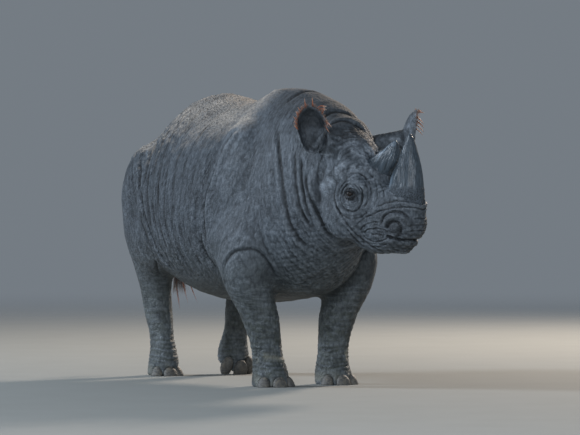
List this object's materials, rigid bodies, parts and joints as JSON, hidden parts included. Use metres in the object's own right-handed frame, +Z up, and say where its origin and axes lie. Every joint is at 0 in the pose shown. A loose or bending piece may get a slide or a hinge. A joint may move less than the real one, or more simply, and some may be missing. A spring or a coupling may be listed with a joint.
{
  "type": "black rhinoceros",
  "caption": "Still life-size model of a black rhinoceros standing with its head turned to its left and one hind heel raised.",
  "frame": {"origin": "middle of the box's bottom face, on the floor between the feet", "axes": "+X the way the body faces, +Y the animal's left, +Z up"},
  "size_m": [2.7864, 0.9777, 1.5433],
  "materials": {
    "hide": "thick folded grey hide, dusty, with a fine net of wrinkles",
    "horn": "fibrous grey horn, satin, rough at its base",
    "eye": "wet and dark",
    "nail": "worn dull hoof nail",
    "hair": "coarse rust-brown bristles"
  },
  "bodies": {
    "root": {"ear_left": "hide", "ear_right": "hide", "eye_left": "eye", "eye_right": "eye", "foreleg_left": "hide", "foreleg_right": "hide", "head": "hide", "hindleg_left": "hide", "hindleg_right": "hide", "horn_front": "horn", "horn_rear": "horn", "nail_foreleg_left_inner": "nail", "nail_foreleg_left_middle": "nail", "nail_foreleg_left_outer": "nail", "nail_foreleg_right_inner": "nail", "nail_foreleg_right_middle": "nail", "nail_foreleg_right_outer": "nail", "nail_hindleg_left_inner": "nail", "nail_hindleg_left_middle": "nail", "nail_hindleg_left_outer": "nail", "nail_hindleg_right_inner": "nail", "nail_hindleg_right_middle": "nail", "nail_hindleg_right_outer": "nail", "neck": "hide", "tail": "hide", "tail_tuft": "hair", "trunk": "hide"}
  },
  "joints": []
}
